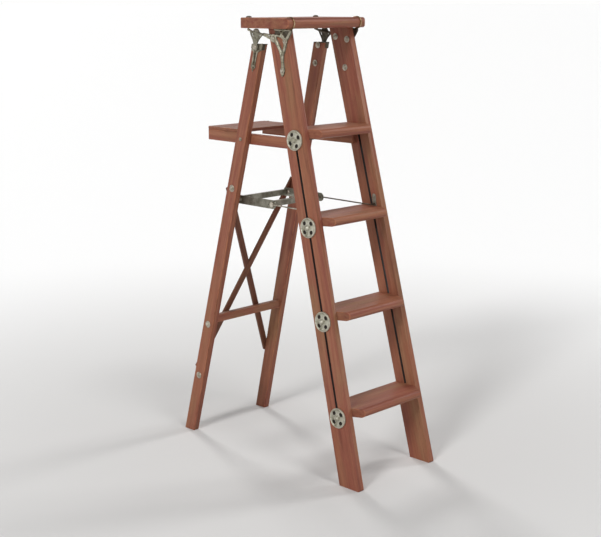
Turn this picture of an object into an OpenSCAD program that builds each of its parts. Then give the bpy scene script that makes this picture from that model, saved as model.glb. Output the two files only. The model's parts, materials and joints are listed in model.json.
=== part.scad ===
// Folding wooden library step ladder with four steps, a top cap, a book shelf
// at the back, cast metal rosettes and a folding metal spreader.
// Millimetres. +Z up, the steps face -Y, +X is the climber's right.
// The origin is on the floor, in the middle of the footprint.

/* [Overall] */
// Height of the top face of the cap above the floor
cap_top_z = 1497; // [1460:1:1540]
// Depth of the footprint, front feet to back feet
footprint_d = 873; // [860:1:885]
// Half of the width across the outer faces at the floor
floor_half_w = 191.4; // [185:0.1:200]
// Angle by which each side leans in towards the top, degrees
side_taper = 1.42; // [1.2:0.01:1.5]

/* [Front frame] */
// Lean of the front rails from the vertical, degrees
rail_lean = 13.95; // [13.8:0.05:14.1]
// Width of a front rail, square to its length
rail_w = 84.6; // [80:0.1:90]
// Thickness of a front rail
rail_t = 23; // [20:0.5:25]
// Width of the long slot that the step rods pass through
slot_w = 9; // [8.6:0.1:11]

/* [Steps] */
// Heights of the tops of the steps, the top step first
step_z = [1146, 869, 570.5, 263];
// Thickness of a step
step_t = 29; // [26:0.5:30]
// How far a step stands out in front of the rails
step_nose = 42; // [36:1:46]
// Width of the corner cut off each side of a step's nose
step_corner = 21; // [15:1:28]
// Depth to which a step is let into each rail
step_housing = 6; // [4:0.5:9]
// Diameter of the steel rod under each step
step_rod_d = 8; // [6:0.1:8.4]
// Distance of a step rod below the top of its step
step_rod_drop = 35.5; // [34:0.5:38]
// Diameter of the cast rosettes
rosette_d = 67; // [60:0.5:74]

/* [Cap] */
// Width of the cap, side to side
cap_w = 372; // [350:1:380]
// Depth of the cap, front to back
cap_d = 227; // [220:1:240]
// Thickness of the cap
cap_t = 34; // [32:0.5:36]

/* [Rear frame] */
// Lean of the rear legs from the vertical, degrees
leg_lean = 13.77; // [13.6:0.01:13.9]
// Width of a rear leg, square to its length
leg_w = 48.2; // [44:0.1:52]
// Thickness of a rear leg
leg_t = 23.5; // [20:0.5:24]
// Height of the top end of the rear legs
leg_top_z = 1410; // [1406:1:1414]
// Height of the hinge at the top of the rear legs
hinge_z = 1402; // [1398:0.5:1404]
// Width of a strip of the diagonal brace
brace_w = 22; // [18:0.5:26]
// Thickness of a strip of the diagonal brace
brace_t = 9.5; // [8:0.5:11]

/* [Shelf] */
// Height of the pivots of the shelf arms
shelf_z = 1094; // [1090:0.5:1095]
// Height of a shelf arm
arm_h = 36; // [30:0.5:37]
// Thickness of the shelf board
board_t = 11; // [9:0.5:13]

/* [Spreader] */
// Height of the spreader's pivots on the rear legs
yoke_z = 878; // [876:0.5:880]
// Half of the width across the outer faces of the yoke
yoke_half_w = 117.5; // [114:0.1:117.8]
// Height of a yoke plate
yoke_h = 30; // [24:0.5:32]
// Diameter of the spreader rods
rod_d = 4.6; // [4:0.1:4.8]

/* [Fasteners] */
// Diameter of the carriage bolts
bolt_d = 7; // [6:0.1:7]
// Gap around a pin that turns in a hole
running_gap = 0.05; // [0.02:0.01:0.08]

/* [Hidden] */
$fn = 64;
eps = 0.5;
// How far a through bore reaches on either side of rails, legs and castings.
bore_in = 100;
bore_out = 220;
sides = [-1, 1];

// Where the front rails lie, seen from the side.
rail_run = rail_w / cos(rail_lean);
function rail_front(z) = -footprint_d / 2 + z * tan(rail_lean);
function rail_mid(z) = rail_front(z) + rail_run / 2;
function rail_back(z) = rail_front(z) + rail_run;

// Where the rear legs lie, seen from the side.
leg_run = leg_w / cos(leg_lean);
function leg_back(z) = footprint_d / 2 - z * tan(leg_lean);
function leg_mid(z) = leg_back(z) - leg_run / 2;
function leg_front(z) = leg_back(z) - leg_run;

// Half widths at a height: outer faces, and the inner faces of rails and legs.
function outer_half(z) = floor_half_w - z * tan(side_taper);
function rail_inner(z) = outer_half(z) - rail_t / cos(side_taper);
function leg_inner(z) = outer_half(z) - leg_t / cos(side_taper);

cap_under_z = cap_top_z - cap_t;
cap_y = 6.8;
nose_r = cap_t / 2;
nose_y = cap_y - cap_d / 2 + nose_r;
cap_bolt_x = outer_half(cap_under_z) + 2.5;
slot_top_z = step_z[0] - step_rod_drop + 6;
slot_end_z = step_z[3] - step_rod_drop - 6;

// Bracket bolts on a rail's outer face, as [y, z].
bracket_foot = [-57, 1330];
bracket_front = [-67, 1424];
bracket_rear = [-14, 1432];
bracket_holes = [bracket_foot, bracket_front, bracket_rear];
bracket_t = 5;
arm_pad_y = 104;
strap_d = 6;
strap_r = nose_r + strap_d / 2;

hinge_y = leg_mid(hinge_z);
hinge_r = 5;
shoe_t = 2.5;
shoe_bolt_z = 1340;

shelf_y = leg_mid(shelf_z);
arm_tip_y = -105;
arm_end_y = 342;
arm_inner = 123.5;
arm_outer = 139.5;
arm_end_outer = 135.2;
board_front_y = 171;
pivot_r = 4;

yoke_y = leg_mid(yoke_z);
yoke_screw_l = 16;
yoke_t = 3;
knuckle_y = 38.5;
knuckle_z = 877;
knuckle_r = yoke_h / 2;
yoke_end_y = 219;
yoke_bar_h = 20;
rod_x = yoke_half_w + 0.5 + rod_d / 2;
eye_y = -190.5;
eye_z = 876.3;
eye_plate_t = 2.5;
eye_screw = [eye_y + 3, eye_z + 27];
eye_screw_d = 3.5;
yoke_bar_y = [50, 204];
yoke_rivet_d = 4;
yoke_rivet_places = [
    [knuckle_y, knuckle_z], [yoke_bar_y[0] + 8, knuckle_z - 2], [yoke_bar_y[1] + 8, knuckle_z - 2]
];

rung_z = [425, 452];
rung_d = 22;
brace_top = [152.5, 914.6];
brace_foot = [167.5, 251.4];
// How far a strip reaches past its end screws.
brace_end = 9;
lag_z = [922, 419, 219];
lag_l = 18;

// ---------------------------------------------------------------- helpers

wood = [0.52, 0.27, 0.19];
metal = [0.58, 0.58, 0.52];

// Puts children on one side: x = 0 is the outer face, +x points outwards.
module on_side(side) {
    mirror([side < 0 ? 1 : 0, 0, 0])
        translate([floor_half_w, 0, 0])
            rotate([0, -side_taper, 0])
                children();
}

// Stands a flat outline drawn in [y, z] upright and gives it a thickness along +x.
module upright(thickness) {
    rotate([90, 0, 90])
        linear_extrude(thickness)
            children();
}

// A board on one side, inwards from the outer face, cut level at both ends.
module side_board(side, thickness, low_z, high_z) {
    intersection() {
        on_side(side)
            translate([-thickness, 0, 0])
                upright(thickness)
                    children();
        translate([-300, -600, low_z])
            cube([600, 1200, high_z - low_z]);
    }
}

// A flat bar of width w between two points, with round ends.
module bar(from, to, w) {
    run = to - from;
    translate(from)
        rotate(atan2(run[1], run[0]))
            translate([0, -w / 2])
                square([norm(run), w]);
    for (end = [from, to])
        translate(end)
            circle(d = w);
}

// A chain of flat strands through a list of points, slightly swollen where they meet.
module chain(points, w) {
    for (i = [1 : len(points) - 1]) {
        run = points[i] - points[i - 1];
        translate(points[i - 1])
            rotate(atan2(run[1], run[0]))
                translate([0, -w / 2])
                    square([norm(run), w]);
    }
    for (p = points)
        translate(p)
            circle(d = 1.12 * w);
}

// A round rod along X, centred on the mirror plane.
module cross_rod(y, z, d, half_length) {
    translate([-half_length, y, z])
        rotate([0, 90, 0])
            cylinder(d = d, h = 2 * half_length);
}

// A round pin along X on one side, from x_in to x_out.
module side_pin(side, y, z, d, x_in, x_out) {
    mirror([side < 0 ? 1 : 0, 0, 0])
        translate([x_in, y, z])
            rotate([0, 90, 0])
                cylinder(d = d, h = x_out - x_in);
}

// A domed head of diameter d, flat face at the origin, rising h along +z.
module dome(d, h) {
    ball_r = (d * d / 4 + h * h) / (2 * h);
    rotate_extrude()
        intersection() {
            translate([0, h - ball_r])
                circle(r = ball_r);
            square([d / 2, h]);
        }
}

// A domed head on one side, its flat face at x, facing outwards or inwards.
module side_dome(side, y, z, x, d, h, outwards = true) {
    mirror([side < 0 ? 1 : 0, 0, 0])
        translate([x, y, z])
            rotate([0, outwards ? 90 : -90, 0])
                dome(d, h);
}

// A washer and a hexagon nut on one side, facing inwards from x.
module side_nut(side, y, z, x, d) {
    mirror([side < 0 ? 1 : 0, 0, 0])
        translate([x, y, z])
            rotate([0, -90, 0]) {
                difference() {
                    union() {
                        cylinder(d = 3.1 * d, h = 2);
                        translate([0, 0, 2])
                            cylinder(d = 2 * d, h = 5, $fn = 6);
                    }
                    translate([0, 0, -eps])
                        cylinder(d = d, h = 8);
                }
            }
}

// ---------------------------------------------------------------- front frame

// The plan of a step: its back, the housed ends and the cut nose corners.
module step_plan(z) {
    inner = rail_inner(z);
    housed = inner + step_housing;
    back = rail_back(z) - 1;
    housing_back = rail_back(z - step_t) - 4;
    front = rail_front(z);
    half = [
        [inner, back], [inner, housing_back], [housed, housing_back], [housed, front + 4],
        [inner, front + 4], [inner, front], [inner - step_corner, front - step_nose]
    ];
    polygon(concat(half, [for (i = [len(half) - 1 : -1 : 0]) [-half[i][0], half[i][1]]]));
}

// A step with a half-round nose.
module step_board(z) {
    r = step_t / 2;
    front = rail_front(z) - step_nose;
    intersection() {
        translate([0, 0, z - step_t])
            linear_extrude(step_t)
                step_plan(z);
        translate([-300, 0, 0])
            upright(600)
                union() {
                    translate([front + r, z - r])
                        circle(r = r);
                    translate([front + r, z - step_t])
                        square([300, step_t]);
                }
    }
}

module step(i) {
    color(wood)
        step_board(step_z[i - 1]);
}

// A front rail with its slot, the housings for the steps and its bolt holes.
module front_rail(side) {
    color(wood)
        difference() {
            side_board(side, rail_t, 0, cap_under_z)
                difference() {
                    polygon([
                        [rail_front(-20), -20], [rail_back(-20), -20],
                        [rail_back(1500), 1500], [rail_front(1500), 1500]
                    ]);
                    bar([rail_mid(slot_end_z), slot_end_z], [rail_mid(slot_top_z), slot_top_z], slot_w);
                }
            for (z = step_z)
                step_board(z);
            for (hole = bracket_holes)
                side_pin(side, hole[0], hole[1], bolt_d, bore_in, bore_out);
            side_pin(side, eye_y, eye_z, rod_d + 1, rail_inner(eye_z) - 3, rail_inner(eye_z) + 9);
            side_pin(side, eye_screw[0], eye_screw[1], eye_screw_d, bore_in, rail_inner(eye_z) + 14);
        }
}

// The cap: a thick board with a half-round front edge and round corners.
module top_cap() {
    corner_r = 12;
    back = cap_y + cap_d / 2;
    color(wood)
        difference() {
            intersection() {
                translate([0, 0, cap_under_z])
                    linear_extrude(cap_t)
                        union() {
                            for (x = sides, y = [cap_y - cap_d / 2 + corner_r, back - corner_r])
                                translate([x * (cap_w / 2 - corner_r), y])
                                    circle(r = corner_r);
                            translate([-cap_w / 2, cap_y - cap_d / 2 + corner_r])
                                square([cap_w, cap_d - 2 * corner_r]);
                            translate([-cap_w / 2 + corner_r, cap_y - cap_d / 2])
                                square([cap_w - 2 * corner_r, cap_d]);
                        }
                translate([-300, 0, 0])
                    upright(600)
                        union() {
                            translate([nose_y, cap_under_z + nose_r])
                                circle(r = nose_r);
                            translate([nose_y, cap_under_z])
                                square([cap_d, cap_t]);
                        }
            }
            for (side = sides)
                translate([side * cap_bolt_x, arm_pad_y, cap_under_z - 1])
                    cylinder(d = bolt_d, h = cap_t + 2);
        }
}

module step_rod(i) {
    z = step_z[i - 1] - step_rod_drop;
    color(metal)
        cross_rod(rail_mid(z), z, step_rod_d, outer_half(z) + 12);
}

// A cast rosette, drawn flat around the origin, its back face at z = 0.
module rosette_casting() {
    rim_r = 3.2;
    difference() {
        union() {
            cylinder(d = rosette_d - 2 * rim_r, h = 4);
            rotate_extrude()
                translate([rosette_d / 2 - rim_r, 0])
                    intersection() {
                        translate([0, rim_r - 0.5])
                            circle(r = rim_r);
                        translate([-rim_r, 0])
                            square([2 * rim_r, 2 * rim_r]);
                    }
            cylinder(d = 22, h = 6);
        }
        for (turn = [45 : 90 : 315])
            rotate(turn)
                translate([0, 0, -1])
                    linear_extrude(8)
                        bar([0, 19.8], [0, 21], 12.6);
        translate([0, 0, -1])
            cylinder(d = step_rod_d + 0.8, h = 9);
    }
}

module rosette(side, i) {
    z = step_z[i - 1] - step_rod_drop;
    color(metal)
        on_side(side)
            translate([0, rail_mid(z), z / cos(side_taper)])
                rotate([-rail_lean, 0, 0])
                    rotate([0, 90, 0])
                        rosette_casting();
}

module step_rod_nuts() {
    color(metal)
        for (side = sides, top = step_z) {
            z = top - step_rod_drop;
            difference() {
                side_dome(side, rail_mid(z), z, outer_half(z) + 7, 18, 8);
                side_pin(side, rail_mid(z), z, step_rod_d, outer_half(z) + 6, outer_half(z) + 12);
            }
        }
}

// ---------------------------------------------------------------- cap fittings

// The wishbone on a rail's outer face and the arm that runs back under the cap.
module cap_bracket(side) {
    fork = [-52, 1378];
    nose_end = [-90, 1452.3];
    color(metal)
        difference() {
            on_side(side)
                upright(bracket_t)
                    difference() {
                        union() {
                            chain([bracket_foot, fork], 11);
                            translate(bracket_foot)
                                circle(d = 19);
                            chain([fork, [-38, 1398], [-25, 1414], bracket_rear], 10);
                            translate(bracket_rear)
                                circle(d = 24);
                            chain([fork, [-63, 1405], bracket_front], 9);
                            translate(bracket_front)
                                circle(d = 18);
                            chain([bracket_front, [-80, 1438], nose_end], 9);
                            chain([bracket_front, [-44, 1438], bracket_rear + [-4, 6]], 6);
                            chain([[-44, 1438], [-56, 1456], [-64, 1458]], 5);
                            chain([
                                bracket_rear, [11, 1435], [29, 1441], [46, 1444.5], [64, 1446], [84, 1449],
                                [arm_pad_y, 1458]
                            ], 9);
                        }
                        translate([-200, cap_under_z / cos(side_taper) - 0.2])
                            square([400, 50]);
                    }
            for (hole = bracket_holes)
                side_pin(side, hole[0], hole[1], bolt_d, bore_in, bore_out);
            mirror([side < 0 ? 1 : 0, 0, 0])
                translate([cap_bolt_x, arm_pad_y, 1440])
                    cylinder(d = 4, h = 30);
        }
}

// The round strap that runs up around the nose of the cap.
module nose_strap(side) {
    color(metal)
        translate([side * cap_bolt_x, nose_y, cap_under_z + nose_r]) {
            rotate([90, 0, 90])
                rotate([0, 0, 90])
                    rotate_extrude(angle = 180)
                        translate([strap_r, 0])
                            circle(d = strap_d);
            translate([0, 0, strap_r])
                rotate([-90, 0, 0])
                    cylinder(d = strap_d, h = 16);
            translate([0, 0, -strap_r])
                rotate([-90, 0, 0])
                    cylinder(d = strap_d, h = 6);
        }
}

module bracket_bolts() {
    color(metal)
        for (side = sides, hole = bracket_holes) {
            face = outer_half(hole[1]) + bracket_t + 0.3;
            side_dome(side, hole[0], hole[1], face, 15, 5);
            side_pin(side, hole[0], hole[1], bolt_d, rail_inner(hole[1]) - 8, face + 1);
        }
}

module bracket_nuts() {
    color(metal)
        for (side = sides, hole = bracket_holes)
            side_nut(side, hole[0], hole[1], rail_inner(hole[1]) - 0.4, bolt_d);
}

// Bolts down through the cap into the ends of the bracket arms.
module cap_bolts() {
    color(metal)
        for (side = sides) {
            translate([side * cap_bolt_x, arm_pad_y, cap_top_z])
                dome(20, 5.5);
            translate([side * cap_bolt_x, arm_pad_y, cap_under_z])
                cylinder(d = bolt_d, h = cap_t);
            translate([side * cap_bolt_x, arm_pad_y, 1453])
                cylinder(d = 4, h = 10);
        }
}

// The gusset that hangs under the bracket arm and carries the hinge pin.
module hinge_hanger(side) {
    hang_t = 4;
    color(metal)
        difference() {
            on_side(side)
                translate([bracket_t, 0, 0]) {
                    upright(hang_t)
                        polygon([
                            [38, 1447], [84, 1454], [90, 1448], [82, 1430], [76, 1416],
                            [hinge_y + 7, hinge_z], [hinge_y - 7, hinge_z], [62, 1416], [52, 1428], [36, 1439]
                        ]);
                    translate([0, hinge_y, hinge_z])
                        rotate([0, 90, 0])
                            cylinder(d = 24, h = hang_t);
                }
            side_pin(side, hinge_y, hinge_z, 2 * hinge_r, bore_in, bore_out);
        }
}

// The hinge pins, from a head outside the hanger through shoe and leg.
module hinge_pins() {
    color(metal)
        for (side = sides) {
            face = outer_half(hinge_z) + bracket_t + 4.4;
            inner = leg_inner(hinge_z) - 0.6;
            side_pin(side, hinge_y, hinge_z, 2 * hinge_r, inner, face);
            side_dome(side, hinge_y, hinge_z, face, 18, 5);
            side_dome(side, hinge_y, hinge_z, inner, 18, 5, false);
            side_pin(side, hinge_y, hinge_z, 18, outer_half(hinge_z) + 2.9, outer_half(hinge_z) + 4.6);
        }
}

// Small plates on the rails' inner faces that hold the spreader rods.
module spreader_eye_plates() {
    low_z = step_z[1] + 1.2;
    high_z = eye_screw[1] + 8;
    color(metal)
        for (side = sides)
            difference() {
                on_side(side)
                    translate([-rail_t - eye_plate_t, 0, 0])
                        upright(eye_plate_t)
                            polygon([
                                [eye_y - 8, low_z], [eye_y + 8, low_z], [eye_y + 11, high_z - 5],
                                [eye_y + 7, high_z], [eye_y, high_z], [eye_y - 4, high_z - 5]
                            ]);
                side_pin(side, eye_y, eye_z, rod_d + 2 * running_gap, bore_in, bore_out);
                side_pin(side, eye_screw[0], eye_screw[1], eye_screw_d, bore_in, bore_out);
            }
}

module eye_plate_screws() {
    inner = rail_inner(eye_screw[1]);
    color(metal)
        for (side = sides) {
            side_dome(side, eye_screw[0], eye_screw[1], inner - eye_plate_t - 0.2, 8, 2, false);
            side_pin(side, eye_screw[0], eye_screw[1], eye_screw_d, inner - eye_plate_t - 0.2, inner + 14);
        }
}

// ---------------------------------------------------------------- rear frame

// A rear leg with the holes for its hinge and its bolts.
module rear_leg(side) {
    color(wood)
        difference() {
            side_board(side, leg_t, 0, leg_top_z)
                polygon([
                    [leg_back(-20), -20], [leg_front(-20), -20],
                    [leg_front(1500), 1500], [leg_back(1500), 1500]
                ]);
            side_pin(side, hinge_y, hinge_z, 2 * (hinge_r + running_gap), bore_in, bore_out);
            side_pin(side, leg_mid(shoe_bolt_z), shoe_bolt_z, bolt_d, bore_in, bore_out);
            side_pin(side, shelf_y, shelf_z, 2 * pivot_r, bore_in, bore_out);
            side_pin(side, yoke_y, yoke_z, 2 * pivot_r, bore_in, leg_inner(yoke_z) + yoke_screw_l);
            for (z = lag_z)
                side_pin(side, leg_mid(z), z, bolt_d, outer_half(z) - lag_l, bore_out);
            brace_screws();
            rear_rung();
        }
}

// The metal shoe over the top of a leg, with a strap down its outer face.
module leg_shoe(side) {
    lip_z = 1394;
    lip_gap = 0.3;
    top = leg_top_z + shoe_t;
    inner = leg_inner(leg_top_z);
    color(metal)
        difference() {
            union() {
                on_side(side)
                    upright(shoe_t)
                        union() {
                            bar([leg_mid(lip_z), lip_z], [leg_mid(shoe_bolt_z), shoe_bolt_z], 22);
                            polygon([
                                [leg_front(lip_z), lip_z], [leg_back(lip_z), lip_z],
                                [leg_back(top), top + 0.4], [leg_front(top), top + 0.4]
                            ]);
                        }
                mirror([side < 0 ? 1 : 0, 0, 0])
                    translate([inner, 0, 0])
                        upright(outer_half(leg_top_z) - inner + 1)
                            polygon([
                                [leg_front(lip_z) - shoe_t, lip_z], [leg_front(lip_z) - lip_gap, lip_z],
                                [leg_front(leg_top_z) - lip_gap, leg_top_z],
                                [leg_back(leg_top_z), leg_top_z],
                                [leg_back(top), top], [leg_front(top) - shoe_t, top]
                            ]);
            }
            side_pin(side, hinge_y, hinge_z, 2 * (hinge_r + running_gap), bore_in, bore_out);
            side_pin(side, leg_mid(shoe_bolt_z), shoe_bolt_z, bolt_d, bore_in, bore_out);
        }
}

module shoe_bolts() {
    y = leg_mid(shoe_bolt_z);
    face = outer_half(shoe_bolt_z) + shoe_t + 0.3;
    color(metal)
        for (side = sides) {
            side_dome(side, y, shoe_bolt_z, face, 14, 4.5);
            side_pin(side, y, shoe_bolt_z, bolt_d, leg_inner(shoe_bolt_z) - 8, face);
            side_nut(side, y, shoe_bolt_z, leg_inner(shoe_bolt_z) - 0.4, bolt_d);
        }
}

// The wooden rung between the rear legs, let a little way into each.
module rear_rung() {
    let_in = 7;
    half = leg_inner(rung_z[1]) + let_in;
    color(wood)
        translate([-half, leg_front(rung_z[0]) + 4, rung_z[0]])
            cube([2 * half, rung_d, rung_z[1] - rung_z[0]]);
}

// Lag bolts with washers, driven sideways into the legs beside the rung and the brace.
module leg_lag_bolts() {
    color(metal)
        for (side = sides, z = lag_z) {
            y = leg_mid(z);
            on_side(side)
                translate([0, y, z / cos(side_taper)])
                    rotate([0, 90, 0])
                        difference() {
                            cylinder(d = 25, h = 3);
                            translate([0, 0, -eps])
                                cylinder(d = 10, h = 4);
                        }
            side_dome(side, y, z, outer_half(z) + 2.6, 14, 5);
            side_pin(side, y, z, bolt_d, outer_half(z) - lag_l, outer_half(z) + 2.6);
        }
}

// Works in the plane of the legs' back faces: x across, z up along the legs.
module on_leg_backs() {
    translate([0, footprint_d / 2, 0])
        rotate([leg_lean, 0, 0])
            children();
}

// A strip of the brace from one leg's upper end down to the other's foot.
module brace_strip(side) {
    top = [side * brace_top[0], brace_top[1] / cos(leg_lean)];
    foot = [-side * brace_foot[0], brace_foot[1] / cos(leg_lean)];
    run = top - foot;
    rotate([90, 0, 0])
        translate([0, 0, -brace_t])
            linear_extrude(brace_t)
                translate(foot)
                    rotate(atan2(run[1], run[0]))
                        translate([-brace_end, -brace_w / 2])
                            square([norm(run) + 2 * brace_end, brace_w]);
}

// The brace crosses in a halved joint: the right-hand strip keeps the front half.
module brace(side) {
    color(wood)
        difference() {
            on_leg_backs()
                difference() {
                    brace_strip(side);
                    intersection() {
                        brace_strip(-side);
                        translate([-80, side > 0 ? brace_t / 2 : -1, 500])
                            cube([160, brace_t / 2 + 1, 250]);
                    }
                }
            brace_screws();
        }
}

// One screw into a leg's back face at each end of a strip, and one at the crossing.
module brace_screws() {
    cross_at = brace_foot[0] / (brace_foot[0] + brace_top[0]);
    cross = [0, brace_foot[1] + cross_at * (brace_top[1] - brace_foot[1])];
    color(metal)
        on_leg_backs() {
            for (side = sides, end = [brace_top, brace_foot])
                brace_screw(side * end[0], end[1], 18);
            brace_screw(cross[0], cross[1], 0);
        }
}

module brace_screw(x, z, into_leg) {
    translate([x, brace_t, z / cos(leg_lean)]) {
        rotate([-90, 0, 0])
            dome(11, 3);
        rotate([90, 0, 0])
            cylinder(d = 5, h = brace_t + into_leg);
    }
}

module shelf_pivot_bolts() {
    color(metal)
        for (side = sides) {
            face = outer_half(shelf_z) + 0.4;
            side_dome(side, shelf_y, shelf_z, face, 14, 4.5);
            side_pin(side, shelf_y, shelf_z, 2 * pivot_r, arm_inner - 4.5, face);
            side_dome(side, shelf_y, shelf_z, arm_inner - 0.4, 14, 4, false);
        }
}

// Shoulder screws in the legs' inner faces that carry the yoke.
module spreader_pivot_bolts() {
    leg_face = leg_inner(yoke_z);
    yoke_in = yoke_half_w - yoke_t;
    color(metal)
        for (side = sides) {
            side_pin(side, yoke_y, yoke_z, 2 * pivot_r, yoke_in - 0.4, leg_face + yoke_screw_l);
            side_pin(side, yoke_y, yoke_z, 12, yoke_half_w + 0.3, leg_face - 0.3);
            side_dome(side, yoke_y, yoke_z, yoke_in - 0.4, 14, 4, false);
        }
}

// ---------------------------------------------------------------- shelf

module shelf_arm(side) {
    half_h = arm_h / 2;
    color(wood)
        mirror([side < 0 ? 1 : 0, 0, 0])
            difference() {
                translate([0, 0, shelf_z - half_h])
                    linear_extrude(arm_h)
                        polygon([
                            [arm_inner, arm_tip_y], [arm_outer, arm_tip_y], [arm_outer, shelf_y],
                            [arm_end_outer, arm_end_y], [arm_inner, arm_end_y]
                        ]);
                translate([100, shelf_y, shelf_z])
                    rotate([0, 90, 0])
                        cylinder(r = pivot_r + running_gap, h = 60);
                shelf_screws();
            }
}

module shelf_board() {
    color(wood)
        difference() {
            translate([-arm_end_outer, board_front_y, shelf_z + arm_h / 2])
                cube([2 * arm_end_outer, arm_end_y - board_front_y, board_t]);
            shelf_screws();
        }
}

// Screws down through the board into the arms.
module shelf_screws() {
    top = shelf_z + arm_h / 2 + board_t;
    color(metal)
        for (side = sides, y = [board_front_y + 25, arm_end_y - 25])
            translate([side * (arm_inner + 6), y, top]) {
                dome(9, 1.5);
                translate([0, 0, -board_t - 15])
                    cylinder(d = 4, h = board_t + 15);
            }
}

// ---------------------------------------------------------------- spreader

// A side plate of the yoke: round at the knuckle, with plain upright grooves.
module yoke_plate(side) {
    rear_r = 5;
    color(metal)
        mirror([side < 0 ? 1 : 0, 0, 0])
            difference() {
                translate([yoke_half_w - yoke_t, 0, 0])
                    upright(yoke_t)
                        union() {
                            translate([knuckle_y, knuckle_z])
                                circle(r = knuckle_r);
                            translate([knuckle_y, knuckle_z - knuckle_r])
                                square([yoke_end_y - rear_r - knuckle_y, yoke_h]);
                            for (z = [knuckle_z - knuckle_r + rear_r, knuckle_z + knuckle_r - rear_r])
                                translate([yoke_end_y - rear_r, z])
                                    circle(r = rear_r);
                            translate([yoke_end_y - rear_r, knuckle_z - knuckle_r + rear_r])
                                square([rear_r, yoke_h - 2 * rear_r]);
                        }
                for (y = [70 : 12 : 154])
                    translate([yoke_half_w - 0.8, 0, 0])
                        upright(2)
                            bar([y, knuckle_z - 8], [y, knuckle_z + 8], 5);
                translate([100, yoke_y, yoke_z])
                    rotate([0, 90, 0])
                        cylinder(r = pivot_r + running_gap, h = 30);
                for (at = yoke_rivet_places)
                    translate([100, at[0], at[1]])
                        rotate([0, 90, 0])
                            cylinder(d = yoke_rivet_d, h = 30);
            }
}

// A cross bar of the yoke: an angle with a tab turned along each plate.
module yoke_bar(y) {
    inner = yoke_half_w - yoke_t;
    low_z = knuckle_z - yoke_bar_h / 2;
    color(metal)
        difference() {
            union() {
                translate([-inner, y, low_z])
                    cube([2 * inner, yoke_t, yoke_bar_h]);
                translate([-inner, y, low_z + yoke_bar_h - yoke_t])
                    cube([2 * inner, 9, yoke_t]);
                for (side = sides)
                    translate([side > 0 ? inner - yoke_t : -inner, y, low_z])
                        cube([yoke_t, 14, yoke_bar_h]);
            }
            cross_rod(y + 8, knuckle_z - 2, yoke_rivet_d, 200);
        }
}

// Rivets that hold the cross bars, and the heads of the knuckles.
module yoke_rivets() {
    inner = yoke_half_w - yoke_t;
    color(metal)
        for (side = sides, at = yoke_rivet_places) {
            head_x = at[0] == knuckle_y ? inner : inner - yoke_t;
            side_pin(side, at[0], at[1], yoke_rivet_d, head_x, yoke_half_w);
            side_dome(side, at[0], at[1], head_x, 9, 3, false);
        }
}

// A spreader rod: a flat eye at the knuckle, and a foot bent out into the rail.
module spreader_rod(side) {
    color(metal)
        mirror([side < 0 ? 1 : 0, 0, 0]) {
            translate([rod_x - rod_d / 2, knuckle_y, knuckle_z])
                rotate([0, 90, 0])
                    cylinder(r = 9, h = rod_d);
            translate([rod_x, eye_y, eye_z]) {
                rotate([-90 + atan2(knuckle_z - eye_z, knuckle_y - eye_y), 0, 0])
                    cylinder(d = rod_d, h = knuckle_y - eye_y);
                sphere(d = rod_d);
                rotate([0, 90, 0])
                    cylinder(d = rod_d, h = rail_inner(eye_z) + 7 - rod_x);
            }
        }
}

// ---------------------------------------------------------------- nodes

front_rail(-1);  // front_rail_left
front_rail(1);  // front_rail_right
step(1);  // step_1
step(2);  // step_2
step(3);  // step_3
step(4);  // step_4
top_cap();
step_rod(1);  // step_rod_1
step_rod(2);  // step_rod_2
step_rod(3);  // step_rod_3
step_rod(4);  // step_rod_4
rosette(-1, 1);  // rosette_left_1
rosette(-1, 2);  // rosette_left_2
rosette(-1, 3);  // rosette_left_3
rosette(-1, 4);  // rosette_left_4
rosette(1, 1);  // rosette_right_1
rosette(1, 2);  // rosette_right_2
rosette(1, 3);  // rosette_right_3
rosette(1, 4);  // rosette_right_4
step_rod_nuts();
cap_bracket(-1);  // cap_bracket_left
cap_bracket(1);  // cap_bracket_right
nose_strap(-1);  // nose_strap_left
nose_strap(1);  // nose_strap_right
bracket_bolts();
bracket_nuts();
cap_bolts();
hinge_hanger(-1);  // hinge_hanger_left
hinge_hanger(1);  // hinge_hanger_right
hinge_pins();
spreader_eye_plates();
eye_plate_screws();
rear_leg(-1);  // rear_leg_left
rear_leg(1);  // rear_leg_right
leg_shoe(-1);  // leg_shoe_left
leg_shoe(1);  // leg_shoe_right
shoe_bolts();
rear_rung();
leg_lag_bolts();
brace(-1);  // brace_left
brace(1);  // brace_right
brace_screws();
shelf_pivot_bolts();
spreader_pivot_bolts();
shelf_arm(-1);  // shelf_arm_left
shelf_arm(1);  // shelf_arm_right
shelf_board();
shelf_screws();
yoke_plate(-1);  // yoke_plate_left
yoke_plate(1);  // yoke_plate_right
yoke_bar(yoke_bar_y[0]);  // yoke_front_bar
yoke_bar(yoke_bar_y[1]);  // yoke_rear_bar
yoke_rivets();
spreader_rod(-1);  // spreader_rod_left
spreader_rod(1);  // spreader_rod_right
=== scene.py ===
import json
import math

import bmesh
import bpy
from mathutils import Matrix, Vector

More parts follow.
